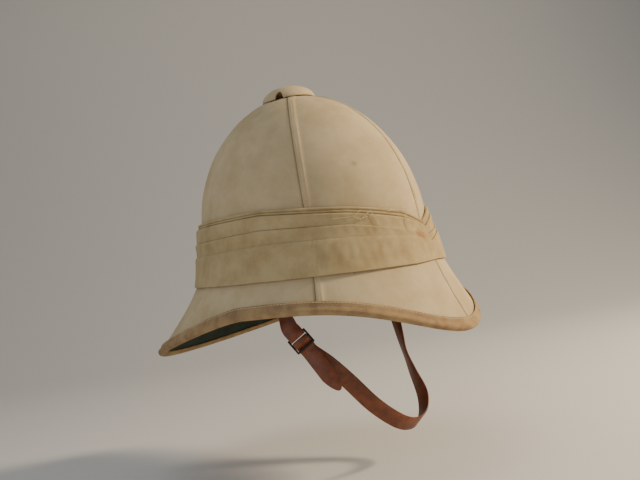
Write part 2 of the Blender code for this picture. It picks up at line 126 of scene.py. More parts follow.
# Rolled edge of the binding
ROLL_RADIUS = 0.0036
LEG_CREST = 0.0002
ROLL_TURN = 80.0
BINDING_THICKNESS = 0.0009
ROLL_STEPS = 17

# Wound band: height of each line at five bearings, lifts off the cover
LINE_BEARINGS = (0.0, 16.0, 45.0, 85.0, 130.0)
BAND_LINES = {
    "roll_top": (0.0355, 0.0475, 0.0565, 0.0650, 0.0650),
    "roll_bottom": (0.0300, 0.0405, 0.0510, 0.0600, 0.0600),
    "upper_fold_bottom": (0.0225, 0.0280, 0.0405, 0.0470, 0.0460),
    "middle_fold_bottom": (0.0155, 0.0230, 0.0280, 0.0325, 0.0310),
    "lower_edge": (-0.0015, -0.0025, -0.0015, 0.0010, 0.0030),
}
BAND_SEAT = 0.0012
BAND_EDGE = 0.0026
BAND_SWELL_FRONT = 0.0022
BAND_SWELL_BACK = 0.0052
FOLD_STEP = 0.0017
ROLL_SWELL = 0.0013

# Ventilator button
BUTTON_RADIUS = 0.027
BUTTON_RISE = 0.0118
BUTTON_WALL = 0.0018
BUTTON_SIDES = 96
BUTTON_ROWS = 24
VENT_BEARINGS = (-77.5, 42.5, 162.5)
VENT_WIDTH = 0.0085
VENT_HEIGHT = 0.0085
VENT_SIDES = 16

# Chin strap and its buckle
STRAP_WIDTH = 0.015
STRAP_THICKNESS = 0.0016
STRAP_WALL_BEARING = 86.0
STRAP_WALL_ROOM = 0.0014
STRAP_WALL_HEIGHTS = (0.040, 0.031, 0.022)
BUCKLE_CENTRE = (-0.097, -0.033, -0.054)
BUCKLE_DOWN = (0.30, -0.45, -0.84)
BUCKLE_ACROSS = (0.42, -0.70, 0.57)
BUCKLE_WIDTH = 0.0192
BUCKLE_LENGTH = 0.015
BUCKLE_BAR = 0.0018
BAR_CORNER_ROOM = 0.9

# Strap routes: centre point, then the direction of the strap's front edge
SHORT_ROUTE = (
    ((-0.0990, -0.0120, 0.0020), (-0.05, -0.96, 0.20)),
    ((-0.1010, -0.0170, -0.0160), (-0.20, -0.88, 0.36)),
    ((-0.1010, -0.0220, -0.0300), (-0.10, -0.86, 0.46)),
)
LONG_ROUTE = (
    ((-0.0790, -0.0460, -0.0780), (0.42, -0.70, 0.58)),
    ((-0.0640, -0.0550, -0.0970), (0.42, -0.70, 0.58)),
    ((-0.0470, -0.0690, -0.1240), (0.38, -0.68, 0.63)),
    ((-0.0230, -0.0800, -0.1450), (0.25, -0.66, 0.70)),
    ((0.0020, -0.0830, -0.1520), (0.00, -0.66, 0.75)),
    ((0.0240, -0.0810, -0.1470), (-0.08, -0.80, 0.60)),
    ((0.0400, -0.0750, -0.1330), (-0.15, -0.85, 0.50)),
    ((0.0500, -0.0630, -0.1120), (-0.50, -0.70, 0.50)),
    ((0.0580, -0.0540, -0.0950), (-0.65, -0.55, 0.52)),
    ((0.0700, -0.0450, -0.0770), (-0.45, -0.70, 0.55)),
    ((0.0870, -0.0320, -0.0500), (-0.20, -0.85, 0.45)),
    ((0.0980, -0.0180, -0.0150), (-0.05, -0.95, 0.30)),
)
LOOSE_ROUTE = (
    ((-0.0860, -0.0590, -0.1000), (0.40, -0.72, 0.57)),
    ((-0.0880, -0.0535, -0.0905), (0.40, -0.72, 0.57)),
    ((-0.0905, -0.0465, -0.0780), (0.42, -0.70, 0.57)),
)


# %% [markdown]
# ## The helmet's surface
# A place on the cover is a bearing round the helmet and a station from the apex at 0,
# past the waist at 1, to the rim at 2. Rows and columns are shared by every layer.

# %% Surface
def waist_point(bearing):
    """Ellipse where the crown ends and the brim's flare begins."""
    x = CROWN_HALF_WIDTH * np.sin(bearing)
    y = -CROWN_HALF_LENGTH * np.cos(bearing)
    return np.stack([x, y, WAIST_HEIGHT + 0 * x], axis=-1)


def rim_point(bearing):
    """Outermost line of the brim: two half ellipses in plan, dipping to a peak at each end."""
    ahead = np.cos(bearing)
    reach = np.where(ahead > 0, RIM_FRONT, RIM_BACK)
    front_dip = np.maximum(ahead, 0) ** FRONT_PEAK_POWER
    soft = BACK_PEAK_SOFTNESS
    back_dip = np.sqrt(np.minimum(ahead, 0) ** 2 + soft ** 2) - soft
    back_dip = back_dip / (math.sqrt(1 + soft ** 2) - soft)
    z = RIM_SIDE_HEIGHT + (PEAK_HEIGHT - RIM_SIDE_HEIGHT) * (front_dip + back_dip)
    return np.stack([RIM_HALF_WIDTH * np.sin(bearing), -reach * ahead, z], axis=-1)


def flare_control(bearing):
    """Middle control point of the brim's curve, below the waist on the crown's own slope."""
    waist = waist_point(bearing)
    span = np.linalg.norm(rim_point(bearing) - waist, axis=-1, keepdims=True)
    slope = np.array([0.0, -APEX_BACK, -CROWN_HEIGHT])
    return waist + slope / np.linalg.norm(slope) * span * FLARE_REACH


def cover_point(bearing, station):
    """Outer face of the cover. Station 0 is the apex, 1 the waist and 2 the rim."""
    bearing, station = np.broadcast_arrays(bearing, station)
    turn = np.clip(station, 0, 1) * math.pi / 2
    crown = np.stack([
        CROWN_HALF_WIDTH * np.sin(turn) * np.sin(bearing),
        -CROWN_HALF_LENGTH * np.sin(turn) * np.cos(bearing) + APEX_BACK * np.cos(turn),
        WAIST_HEIGHT + CROWN_HEIGHT * np.cos(turn)], axis=-1)
    t = np.clip(station - 1, 0, None)[..., None]
    brim = ((1 - t) ** 2 * waist_point(bearing) + 2 * t * (1 - t) * flare_control(bearing)
            + t ** 2 * rim_point(bearing))
    return np.where(station[..., None] <= 1, crown, brim)


def cover_normal(bearing, station):
    """Outward unit normal, from the surface's two slopes."""
    step = 1e-4
    along = cover_point(bearing, station + step) - cover_point(bearing, station - step)
    around = cover_point(bearing + step, station) - cover_point(bearing - step, station)
    normal = np.cross(along, around)
    return normal / np.linalg.norm(normal, axis=-1, keepdims=True)


def layer_point(bearing, station, lift):
    """Point at a distance off the cover's outer face, outwards positive."""
    lift = np.asarray(lift, dtype=float)[..., None]
    return cover_point(bearing, station) + lift * cover_normal(bearing, station)


def station_at_height(bearing, height):
    """Station where the cover passes a height, on the crown or on the brim's curve."""
    on_crown = 2 / math.pi * np.arccos(np.clip((height - WAIST_HEIGHT) / CROWN_HEIGHT, 0, 1))
    top = waist_point(bearing)[..., 2]
    middle = flare_control(bearing)[..., 2]
    low = rim_point(bearing)[..., 2]
    square = top - 2 * middle + low
    linear = 2 * (middle - top)
    rest = top - np.minimum(height, WAIST_HEIGHT)
    root = np.sqrt(np.maximum(linear ** 2 - 4 * square * rest, 0))
    on_brim = 2 * rest / (-linear + root)
    return np.where(height >= WAIST_HEIGHT, on_crown, 1 + on_brim)


def station_from_rim(bearing, distance):
    """Station at a distance inwards from the rim, along the brim."""
    speed = 2 * np.linalg.norm(rim_point(bearing) - flare_control(bearing), axis=-1)
    return 2 - distance / speed


def row_stations(bearing_rows):
    """Stations of the rows that every layer shares, one array per row."""
    first = math.asin(VENT_HOLE_RADIUS / CROWN_HALF_WIDTH) * 2 / math.pi
    crown = np.linspace(first, 1.0, CROWN_ROWS + 1)
    rows = [np.full(bearing_rows.shape[1], s) for s in crown]
    for height in FLARE_HEIGHTS:
        rows.append(station_at_height(bearing_rows[len(rows)], height))
    inner = station_from_rim(bearing_rows[len(rows)], BINDING_WIDTH)
    rows.append(rows[-1] + (inner - rows[-1]) * MID_BRIM)
    rows.append(inner)
    rows.append(station_from_rim(bearing_rows[-1], RIM_CLEARANCE))
    return np.array(rows)


ROW_COUNT = CROWN_ROWS + 1 + len(FLARE_HEIGHTS) + 3


def row_radii():
    """Mean distance from the helmet's axis of each row, for widths along a row."""
    side = np.full((ROW_COUNT, 1), math.pi / 2)
    points = cover_point(side, row_stations(side))
    return points[:, 0, 0]


def panel_bearings(index, with_fell_shoulder, edge_gap):
    """Bearings of one panel's columns in every row: its fell, then even steps to the next seam."""
    start = math.radians(SEAM_BEARINGS[index])
    end = math.radians(SEAM_BEARINGS[(index + 1) % len(SEAM_BEARINGS)])
    if end <= start:
        end += 2 * math.pi
    rows = []
    for radius in row_radii():
        foot = start + FELL_WIDTH / radius
        columns = [start + edge_gap / radius]
        if with_fell_shoulder:
            columns.append(start + FELL_SHOULDER / radius)
        columns += list(np.linspace(foot, end - edge_gap / radius, PANEL_COLUMNS))
        rows.append(columns)
    return np.array(rows)


def ring_bearings():
    """Bearings of the columns all round the helmet, matching the panels' own."""
    parts = [panel_bearings(i, False, 0.0)[:, :-1] for i in range(len(SEAM_BEARINGS))]
    return np.concatenate(parts, axis=1)


def shell_depth(row):
    """Thickness of the pith at a row, tapering over the brim."""
    share = max(0, row - CROWN_ROWS) / (ROW_COUNT - 1 - CROWN_ROWS)
    return SHELL + (SHELL_AT_RIM - SHELL) * share



print("rows and columns of the plan:", ring_bearings().shape)

# %% [markdown]
# ## Meshes
# A sheet is a grid of points, a solid is a row of closed sections, and a wall is a
# sheet thickened inwards.

# %% Mesh helpers
def add_mesh(name, points, faces, material):
    """Add a node made of the points and faces, smooth but for its sharp edges."""
    points = np.asarray(points, dtype=float)
    mesh = bpy.data.meshes.new(name)
    mesh.from_pydata([tuple(p) for p in points], [], faces)
    if material is not None:
        mesh.materials.append(material)
    obj = bpy.data.objects.new(name, mesh)
    bpy.context.scene.collection.objects.link(obj)
    mesh.shade_smooth()
    mesh.set_sharp_from_angle(angle=math.radians(50))
    return obj


def dense(grid, along, around):
    """Finer grid between the given rows and columns, in straight steps."""
    grid = np.asarray(grid, dtype=float)
    for axis, factor in ((0, along), (1, around)):
        old = np.arange(grid.shape[axis])
        new = np.linspace(0, old[-1], old[-1] * factor + 1)
        grid = np.apply_along_axis(lambda values: np.interp(new, old, values), axis, grid)
    return grid


def dense_ring(grid, along, around):
    """Finer grid round the whole helmet, closing on its first column."""
    grid = np.asarray(grid, dtype=float)
    closed = np.concatenate([grid, grid[:, :1] + 2 * math.pi], axis=1)
    return dense(closed, along, around)[:, :-1]


def dents(points):
    """Soft unevenness of worn cloth over pith: a product of slow waves across the helmet.

    The factors of x, y and z are radians per metre, so the waves are 5 to 20 cm long.
    """
    x, y, z = (points[..., k] for k in range(3))
    waves = np.sin(61 * x + 40 * z + 1) * np.sin(53 * y - 31 * z) + 0.6 * np.sin(120 * z + 70 * x)
    return DENT * 0.5 * waves * np.sin(83 * y + 47 * x + 2)


def join(name, objects):
    """One node out of several, with their materials kept."""
    with bpy.context.temp_override(active_object=objects[0], selected_editable_objects=objects):
        bpy.ops.object.join()
    objects[0].name = name
    return objects[0]


def add_surface(name, grid, material, closed):
    """Open sheet through a grid of rows from the top down and columns to the wearer's left."""
    rows, columns = grid.shape[:2]
    faces = []
    for i in range(rows - 1):
        for j in range(columns if closed else columns - 1):
            k = (j + 1) % columns
            faces.append((i * columns + j, (i + 1) * columns + j,
                          (i + 1) * columns + k, i * columns + k))
    return add_mesh(name, grid.reshape(-1, 3), faces, material)


def add_loft(name, sections, material, closed):
    """Solid through closed sections of equal point count, as a ring or with flat ends."""
    count, size = sections.shape[:2]
    faces = []
    for i in range(count if closed else count - 1):
        j = (i + 1) % count
        for k in range(size):
            n = (k + 1) % size
            faces.append((i * size + k, j * size + k, j * size + n, i * size + n))
    if not closed:
        faces.append(tuple(range(size)))
        faces.append(tuple(reversed(range((count - 1) * size, count * size))))
    return add_mesh(name, sections.reshape(-1, 3), faces, material)


def thicken(obj, thickness, group_weights=None):
    """Solidify the sheet inwards; weights scale the thickness point by point."""
    solid = obj.modifiers.new("wall", "SOLIDIFY")
    solid.thickness = thickness
    solid.offset = -1.0
    solid.use_even_offset = True
    if group_weights is not None:
        group = obj.vertex_groups.new(name="wall")
        for index, weight in enumerate(group_weights):
            group.add([index], float(weight), "REPLACE")
        solid.vertex_group = group.name


# %% [markdown]
# ## The band's lines and the button
# The band's fold lines dip to a V at the front seam. The button is a half ellipse
# whose hem follows the crown, with three arches cut through it.

# %% Band and button shapes
def line_height(name, bearing):
    """Height of a fold line of the band at each bearing, alike on both sides."""
    around = np.abs(np.degrees((bearing + math.pi) % (2 * math.pi) - math.pi))
    return np.interp(around, LINE_BEARINGS, BAND_LINES[name])


def band_lift(bearing, height):
    """How far the wound band stands off the cover, fullest midway up and at the back."""
    low = line_height("lower_edge", bearing)
    high = line_height("roll_top", bearing)
    share = np.clip((height - low) / (high - low), 0, 1)
    back = (1 - np.cos(bearing)) / 2
    swell = BAND_SWELL_FRONT + (BAND_SWELL_BACK - BAND_SWELL_FRONT) * back
    return BAND_EDGE + swell * np.sin(math.pi * share)


def band_row(bearing, height, lift):
    """Points of the band at a height, at a distance off the cover."""
    return layer_point(bearing, station_at_height(bearing, height), lift)


def crown_height_at(x, y):
    """Height of the crown over a point in plan."""
    inside = 1 - (x / CROWN_HALF_WIDTH) ** 2 - ((y - APEX_BACK) / CROWN_HALF_LENGTH) ** 2
    return WAIST_HEIGHT + CROWN_HEIGHT * math.sqrt(inside)


def build_ventilator(material):
    """Hollow button whose hem follows the crown, with three arched vents cut in it."""
    top = WAIST_HEIGHT + CROWN_HEIGHT + BUTTON_RISE
    points = [(0.0, APEX_BACK, top)]
    for row in range(1, BUTTON_ROWS + 1):
        turn = math.pi / 2 * row / BUTTON_ROWS
        for side in range(BUTTON_SIDES):
            bearing = 2 * math.pi * side / BUTTON_SIDES
            seat = BUTTON_RADIUS - BUTTON_WALL
            hem = crown_height_at(seat * math.sin(bearing), APEX_BACK - seat * math.cos(bearing))
            hem += FELL_HEIGHT + GAP
            radius = BUTTON_RADIUS * math.sin(turn)
            points.append((radius * math.sin(bearing), APEX_BACK - radius * math.cos(bearing),
                           hem + (top - hem) * math.cos(turn)))
    faces = [(0, 1 + side, 1 + (side + 1) % BUTTON_SIDES) for side in range(BUTTON_SIDES)]
    for row in range(BUTTON_ROWS - 1):
        above = 1 + row * BUTTON_SIDES
        below = above + BUTTON_SIDES
        for side in range(BUTTON_SIDES):
            after = (side + 1) % BUTTON_SIDES
            faces.append((above + side, below + side, below + after, above + after))
    cap = add_mesh("vent_button", points, faces, material)
    thicken(cap, BUTTON_WALL)
    for number, bearing in enumerate(VENT_BEARINGS):
        cut = cap.modifiers.new(f"vent_{number + 1}", "BOOLEAN")
        cut.operation = "DIFFERENCE"
        cut.solver = "EXACT"
        cut.object = vent_cutter(f"vent_cutter_{number + 1}", math.radians(bearing))
    return cap


def vent_cutter(name, bearing):
    """Arch-shaped bar pointing out from the button's axis at a bearing."""
    radial = Vector((math.sin(bearing), -math.cos(bearing), 0))
    sideways = Vector((math.cos(bearing), math.sin(bearing), 0))
    reach = BUTTON_RADIUS * 1.3
    start = BUTTON_RADIUS * 0.5
    edge = BUTTON_RADIUS * radial
    hem = crown_height_at(edge.x, APEX_BACK + edge.y)
    outline = [(-VENT_WIDTH / 2, -BUTTON_RISE / 2), (VENT_WIDTH / 2, -BUTTON_RISE / 2)]
    for step in range(VENT_SIDES + 1):
        turn = math.pi * step / VENT_SIDES
        outline.append((VENT_WIDTH / 2 * math.cos(turn), VENT_HEIGHT * math.sin(turn)))
    sections = []
    for distance in (reach, start):
        sections.append([tuple(radial * distance + sideways * across
                               + Vector((0, APEX_BACK, hem + up))) for across, up in outline])
    cutter = add_loft(name, np.array(sections), None, closed=False)
    cutter.hide_set(True)
    cutter.hide_render = True
    cutter.display_type = "WIRE"
    return cutter


# %% [markdown]
# ## The strap's route
# The route is a list of places with the direction of the strap's front edge at each.
# A cubic curve runs through all of them, and the strap's section is carried along it.

# %% Strap shapes
def unit(vector):
    """Vector of length one along the given one."""
    vector = np.array(vector, dtype=float)
    return vector / np.linalg.norm(vector)


def smooth_route(points, steps):
    """Curve through every point, with even cubic stretches between neighbours."""
    points = np.array(points, dtype=float)
    padded = np.vstack([2 * points[0] - points[1], points, 2 * points[-1] - points[-2]])
    curve = []
    for i in range(len(points) - 1):
        a, b, c, d = padded[i:i + 4]
        for step in range(steps):
            t = step / steps
            curve.append(0.5 * (2 * b + (c - a) * t + (2 * a - 5 * b + 4 * c - d) * t ** 2
                                + (3 * b - a - 3 * c + d) * t ** 3))
    curve.append(points[-1])
    return np.array(curve)


def buckle_axes():
    """Unit directions of the buckle: down the strap, across it and out of its face."""
    down = unit(BUCKLE_DOWN)
    out = unit(np.cross(down, BUCKLE_ACROSS))
    return down, np.cross(out, down), out


def at_buckle(down_strap, out_of_face):
    """Route entry at a place in the buckle's lengthwise plane."""
    down, across, out = buckle_axes()
    point = np.array(BUCKLE_CENTRE) + down * down_strap + out * out_of_face
    return tuple(point), tuple(across)


def wall_entry(side, height):
    """Route entry where the strap lies flat inside the shell, stitched to its wall."""
    bearing = np.array(side * math.radians(STRAP_WALL_BEARING))
    depth = CLOTH + SHELL + STRAP_WALL_ROOM + STRAP_THICKNESS / 2
    station = station_at_height(bearing, height)
    point = layer_point(bearing, station, -depth)
    front = cover_point(bearing - side * 0.01, station) - cover_point(bearing, station)
    return tuple(point), tuple(unit(front))


def build_strap(name, entries, material, steps, end_widths=()):
    """Flat strap along a route, as a loft of thin rectangles across it."""
    centres = smooth_route([entry[0] for entry in entries], steps)
    fronts = smooth_route([entry[1] for entry in entries], steps)
    ahead = np.gradient(centres, axis=0)
    ahead /= np.linalg.norm(ahead, axis=1, keepdims=True)
    fronts -= ahead * np.sum(fronts * ahead, axis=1, keepdims=True)
    fronts /= np.linalg.norm(fronts, axis=1, keepdims=True)
    faces_out = np.cross(ahead, fronts)
    widths = np.full((len(centres), 1), STRAP_WIDTH / 2)
    widths[:len(end_widths), 0] *= end_widths
    half = STRAP_THICKNESS / 2
    sections = [centres + fronts * widths * u + faces_out * half * v for u, v in STRAP_SECTION]
    return add_loft(name, np.swapaxes(np.array(sections), 0, 1), material, closed=False)


def build_straps(material):
    """Short strap looped on the buckle's top bar, long strap round its middle bar."""
    bar = BUCKLE_BAR / 2
    round_bar = bar + GAP + STRAP_THICKNESS / 2
    bar_place = BUCKLE_LENGTH / 2 - bar
    half_step = (STRAP_THICKNESS + GAP) / 2
    diagonal = round_bar * BAR_CORNER_ROOM

    short = [wall_entry(-1, height) for height in STRAP_WALL_HEIGHTS]
    short += SHORT_ROUTE
    short += [at_buckle(-0.0150, half_step), at_buckle(-bar_place - 0.0018, round_bar),
              at_buckle(-bar_place, round_bar),
              at_buckle(-bar_place + diagonal, diagonal),
              at_buckle(-bar_place + round_bar, 0.0),
              at_buckle(-bar_place + diagonal, -diagonal),
              at_buckle(-bar_place, -round_bar), at_buckle(-bar_place - 0.0025, -round_bar),
              at_buckle(-0.0135, -half_step - 0.0004)]
    near = build_strap("strap_near", short, material, steps=10)

    under = round_bar + STRAP_THICKNESS + GAP
    loose_tip = np.sqrt(np.linspace(0.02, 1.0, TIP_SECTIONS))
    long = list(LOOSE_ROUTE)
    long += [at_buckle(0.0130, -round_bar - 0.0002), at_buckle(bar_place + 0.0012, -round_bar),
             at_buckle(bar_place - 0.0016, -round_bar * 0.9), at_buckle(bar_place * 0.5, 0.0),
             at_buckle(0.0012, round_bar), at_buckle(-diagonal, diagonal),
             at_buckle(-round_bar, 0.0), at_buckle(-diagonal, -diagonal),
             at_buckle(0.0012, -round_bar - 0.0003), at_buckle(bar_place * 0.6, -under),
             at_buckle(bar_place + 0.0010, -under - 0.0002), at_buckle(0.0140, -under - 0.0016)]
    long += LONG_ROUTE
    long += [wall_entry(1, height) for height in reversed(STRAP_WALL_HEIGHTS)]
    far = build_strap("strap_far", long, material, steps=10, end_widths=loose_tip)
    return near, far


# %% [markdown]
# ## Finishes
# Cloth is a base colour mottled by slow noise, soiled by a second noise, and raised
# by a fine weave. Stains are round soft spots at their places on the helmet.

# %% Materials
def linear(hex_colour):
    """Scene-linear colour from an sRGB hex string."""
    parts = [int(hex_colour[k:k + 2], 16) / 255 for k in (1, 3, 5)]
    return tuple(c / 12.92 if c < 0.04045 else ((c + 0.055) / 1.055) ** 2.4 for c in parts) + (1.0,)


def node(tree, kind, links=(), **values):
    """Add a shader node, set its properties or inputs by name, and link its inputs."""
    made = tree.nodes.new(kind)
    for key, value in values.items():
        if hasattr(made, key):
            setattr(made, key, value)
        else:
            made.inputs[key.replace("_", " ")].default_value = value
    for target, source in links:
        tree.links.new(source, made.inputs[target])
    return made


STAIN_RAGGEDNESS = 1.2
STAIN_CORE = 0.4
STAIN_EDGE = 1.6
STAIN_GRAIN = 260.0
WORN_BELOW = 0.32
CLEAN_ABOVE = 0.62
BUMP_STRENGTH = 0.6


def finish_material(name, base, worn, rough, weave, grain, height, stains=(), metal=0.0):
    """Procedural finish. weave and grain are features per metre; height is the bump in metres."""
    material = bpy.data.materials.new(name)
    material.use_nodes = True
    tree = material.node_tree
    shader = tree.nodes["Principled BSDF"]
    shader.inputs["Roughness"].default_value = rough
    shader.inputs["Metallic"].default_value = metal
    place = node(tree, "ShaderNodeTexCoord").outputs["Object"]
    slow = node(tree, "ShaderNodeTexNoise", [("Vector", place)], Scale=grain, Detail=6.0, Roughness=0.65)
    ramp = node(tree, "ShaderNodeValToRGB", [("Fac", slow.outputs["Fac"])])
    ramp.color_ramp.elements[0].position = WORN_BELOW
    ramp.color_ramp.elements[0].color = linear(worn)
    ramp.color_ramp.elements[1].position = CLEAN_ABOVE
    ramp.color_ramp.elements[1].color = linear(base)
    colour = ramp.outputs["Color"]
    for centre, radius, tint, amount in stains:
        away = node(tree, "ShaderNodeVectorMath", [(0, place)], operation="DISTANCE")
        away.inputs[1].default_value = centre
        blot = node(tree, "ShaderNodeTexNoise", [("Vector", place)], Scale=STAIN_GRAIN, Detail=4.0)
        spread = node(tree, "ShaderNodeMath", [(0, blot.outputs["Fac"])], operation="MULTIPLY")
        spread.inputs[1].default_value = radius * STAIN_RAGGEDNESS
        edge = node(tree, "ShaderNodeMath", [(0, away.outputs["Value"]), (1, spread.outputs[0])],
                    operation="ADD")
        fade = node(tree, "ShaderNodeMapRange", [("Value", edge.outputs[0])])
        fade.inputs["From Min"].default_value = radius * STAIN_CORE
        fade.inputs["From Max"].default_value = radius * STAIN_EDGE
        fade.inputs["To Min"].default_value = amount
        fade.inputs["To Max"].default_value = 0.0
        mix = node(tree, "ShaderNodeMix", data_type="RGBA")
        tree.links.new(fade.outputs[0], mix.inputs[0])
        tree.links.new(colour, mix.inputs[6])
        mix.inputs[7].default_value = linear(tint)
        colour = mix.outputs[2]
    tree.links.new(colour, shader.inputs["Base Color"])
    fine = node(tree, "ShaderNodeTexNoise", [("Vector", place)], Scale=weave, Detail=3.0)
    bump = node(tree, "ShaderNodeBump", [("Height", fine.outputs["Fac"])], Strength=BUMP_STRENGTH)
    bump.inputs["Distance"].default_value = height
    tree.links.new(bump.outputs["Normal"], shader.inputs["Normal"])
    return material


RUST = "#9a5a26"
DARK = "#5d4c36"
COVER_STAINS = (
    ((-0.0524, -0.087, 0.0944), 0.004, DARK, 0.45),
    ((-0.0831, -0.0882, -0.0006), 0.002, DARK, 0.7),
)
BAND_STAINS = (
    ((-0.0165, -0.1225, 0.0234), 0.0065, RUST, 0.85),
    ((-0.0128, -0.1240, 0.0195), 0.0055, RUST, 0.85),
    ((-0.0214, -0.1190, 0.0339), 0.0055, RUST, 0.5),
    ((0.0360, -0.1170, 0.0209), 0.0045, RUST, 0.5),
)
DRILL = finish_material("khaki_cotton_drill", "#c8b48d", "#b7a27a", 0.92, 2600, 30, 0.00014, COVER_STAINS)
MUSLIN = finish_material("faded_muslin", "#bba67a", "#a68f64", 0.94, 1700, 42, 0.0003, BAND_STAINS)
TAPE = finish_material("soiled_binding", "#a88d63", "#86694a", 0.93, 2300, 70, 0.00018)
GREEN = finish_material("dark_green_lining", "#26352a", "#18221b", 0.95, 2500, 60, 0.0001)
PITH = finish_material("cloth_faced_pith", "#b59c72", "#8e7450", 0.95, 2000, 70, 0.0001)
LEATHER = finish_material("reddish_brown_leather", "#7d4122", "#592c17", 0.48, 1500, 120, 0.00012)
BUCKLE_BLACK = finish_material("black_japanning", "#1c1917", "#33291f", 0.35, 900, 300, 0.00003, metal=0.4)
THREAD = finish_material("pale_thread", "#d8c8a2", "#c2ae84", 0.9, 3000, 100, 0.00005)
print("materials", len(bpy.data.materials))

# %% [markdown]
# ## Cover, shell and lining
# The same rows and columns as the plan, made finer, with the cloth's dents and the
# puckers of each lapped seam added to the offset along the normal.

# %% Cover panels
helmet_pieces = []


def add_piece(obj, node_name):
    """Attach a piece to the root body, hide the imported solids it stands for, and list it among the helmet's
    pieces.
    """
    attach(obj, "root")
    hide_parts(*node_name)
    helmet_pieces.append(obj)


for number in range(len(SEAM_BEARINGS)):
    coarse = panel_bearings(number, True, GAP / 2)
    lift = np.zeros(coarse.shape)
    lift[:, :2] = FELL_HEIGHT
    bearings = dense(coarse, DENSE, DENSE)
    stations = dense(row_stations(coarse), DENSE, DENSE)
    lift = dense(lift, DENSE, DENSE)
    rest = layer_point(bearings, stations, lift)
    run = np.cumsum(np.linalg.norm(np.diff(rest, axis=0, prepend=rest[:1]), axis=-1), axis=0)
    near_seam = np.exp(-np.abs(lift / FELL_HEIGHT - 0.85) * 6)
    pucker = PUCKER * near_seam * np.sin(2 * math.pi * run / PUCKER_PITCH + 2 * np.sin(run * 300))
    fade = np.clip((2.02 - stations) * 9, 0, 1)
    grid = layer_point(bearings, stations, lift + pucker + dents(rest) * fade * (1 - near_seam))
    panel = add_surface(f"cloth_panel_{number + 1}", grid, DRILL, closed=False)
    thicken(panel, CLOTH * CLOTH_WALL_SHARE)
    add_piece(panel, [f"cover_panel_{number + 1}"])

coarse = ring_bearings()
bearings = dense_ring(coarse, SHELL_DENSE, SHELL_DENSE)
closed_rows = np.concatenate([coarse, coarse[:, :1] + 2 * math.pi], axis=1)
stations = dense(row_stations(closed_rows), SHELL_DENSE, SHELL_DENSE)[:, :-1]
grid = layer_point(bearings, stations, -(CLOTH + GAP))
shell = add_surface("hat_body", grid, PITH, closed=True)
depths = dense([[shell_depth(i)] * 2 for i in range(ROW_COUNT)], SHELL_DENSE, 1)[:, 0]
thicken(shell, SHELL, np.repeat(depths / SHELL, grid.shape[1]))
add_piece(shell, ["pith_shell"])

first = CROWN_ROWS + len(FLARE_HEIGHTS)
lining_depths = [[CLOTH + shell_depth(i) + 2 * GAP] * 2 for i in range(first, ROW_COUNT)]
lining_depth = dense(lining_depths, SHELL_DENSE, 1)[:, :1]
first_fine = first * SHELL_DENSE
grid = layer_point(bearings[first_fine:], stations[first_fine:], -lining_depth)
lining = add_surface("green_underside", grid, GREEN, closed=True)
thicken(lining, LINING)
add_piece(lining, ["brim_lining"])
print("cover, shell and lining:", len(helmet_pieces))

# %% [markdown]
# ## Wound band
# Each fold is a closed ring. Its outer face stands proud at its upper edge, sinks
# under the next fold down, and is crinkled by fine upright gathers.

# %% Pugaree
def crinkle(bearing, share):
    """Fine upright gathers of wound muslin: 211 fine and 67 broad waves round the helmet, unevenly spaced."""
    fine = np.sin(211 * bearing + 3 * np.sin(17 * bearing + 5 * share)) * FINE_GATHER
    coarse_wave = np.sin(67 * bearing + 2.2 * np.sin(9 * bearing) + 2 * share) * BROAD_GATHER
    return fine + coarse_wave * np.sin(math.pi * np.clip(share, 0.05, 1))


def ring_row():
    """Bearings all round at the waist, finer than the plan's."""
    return dense_ring(ring_bearings()[CROWN_ROWS:CROWN_ROWS + 1], 1, BAND_DENSE)[0]


def fold_ring(name, upper_line, lower_line):
    """Closed ring for one shingled fold, its upper edge rounded over."""
    bearing = ring_row()
    upper = line_height(upper_line, bearing) - GAP / 2
    lower = line_height(lower_line, bearing) + GAP / 2
    waver = FOLD_WAVER * np.sin(13 * bearing) * np.sin(5 * bearing + 1)
    rows = []
    for share in np.linspace(0, 1, FOLD_ROWS):
        height = lower + (upper - lower) * share
        proud = FOLD_STEP * share ** 1.5
        edge = np.exp(-((1 - share) / 0.06) ** 2) * FOLD_STEP * 0.5
        lift = band_lift(bearing, height) + proud - edge + crinkle(bearing, share) * (0.3 + share * 0.7)
        rows.append(band_row(bearing, height + waver * share * (1 - share), lift))
    for share in (1.0, 0.5, 0.0):
        height = lower + (upper - lower) * share
        rows.append(band_row(bearing, height, np.full(bearing.shape, BAND_SEAT)))
    return add_loft(name, np.swapaxes(np.array(rows), 0, 1), MUSLIN, closed=True)


def roll_ring():
    """Two strands rolled along the top of the band."""
    bearing = ring_row()
    upper = line_height("roll_top", bearing)
    lower = line_height("roll_bottom", bearing) + GAP / 2
    rows = []
    for share in np.linspace(0, 1, ROLL_ROWS):
        height = lower + (upper - lower) * share
        swell = np.abs(np.sin(2 * math.pi * share)) ** 0.6 * ROLL_SWELL
        lift = BAND_EDGE + swell - ROLL_SINK + crinkle(bearing, share) * 0.5
        rows.append(band_row(bearing, height, lift))
    for share in (1.0, 0.0):
        height = lower + (upper - lower) * share
        rows.append(band_row(bearing, height, np.full(bearing.shape, BAND_SEAT)))
    return add_loft("band_roll", np.swapaxes(np.array(rows), 0, 1), MUSLIN, closed=True)


bands = [
    (roll_ring(), "pugaree_top_roll"),
    (fold_ring("band_fold_1", "roll_bottom", "upper_fold_bottom"), "pugaree_fold_upper"),
    (fold_ring("band_fold_2", "upper_fold_bottom", "middle_fold_bottom"), "pugaree_fold_middle"),
    (fold_ring("band_fold_3", "middle_fold_bottom", "lower_edge"), "pugaree_fold_lower"),
]
for band, solid in bands:
    add_piece(band, [solid])
print("wound band:", [band.name for band, solid in bands])

# %% [markdown]
# ## Binding, button, strap and buckle
# The binding's section rolls round the brim's edge. The strap is a flat section
# carried along a smooth route, pointed at its loose end.

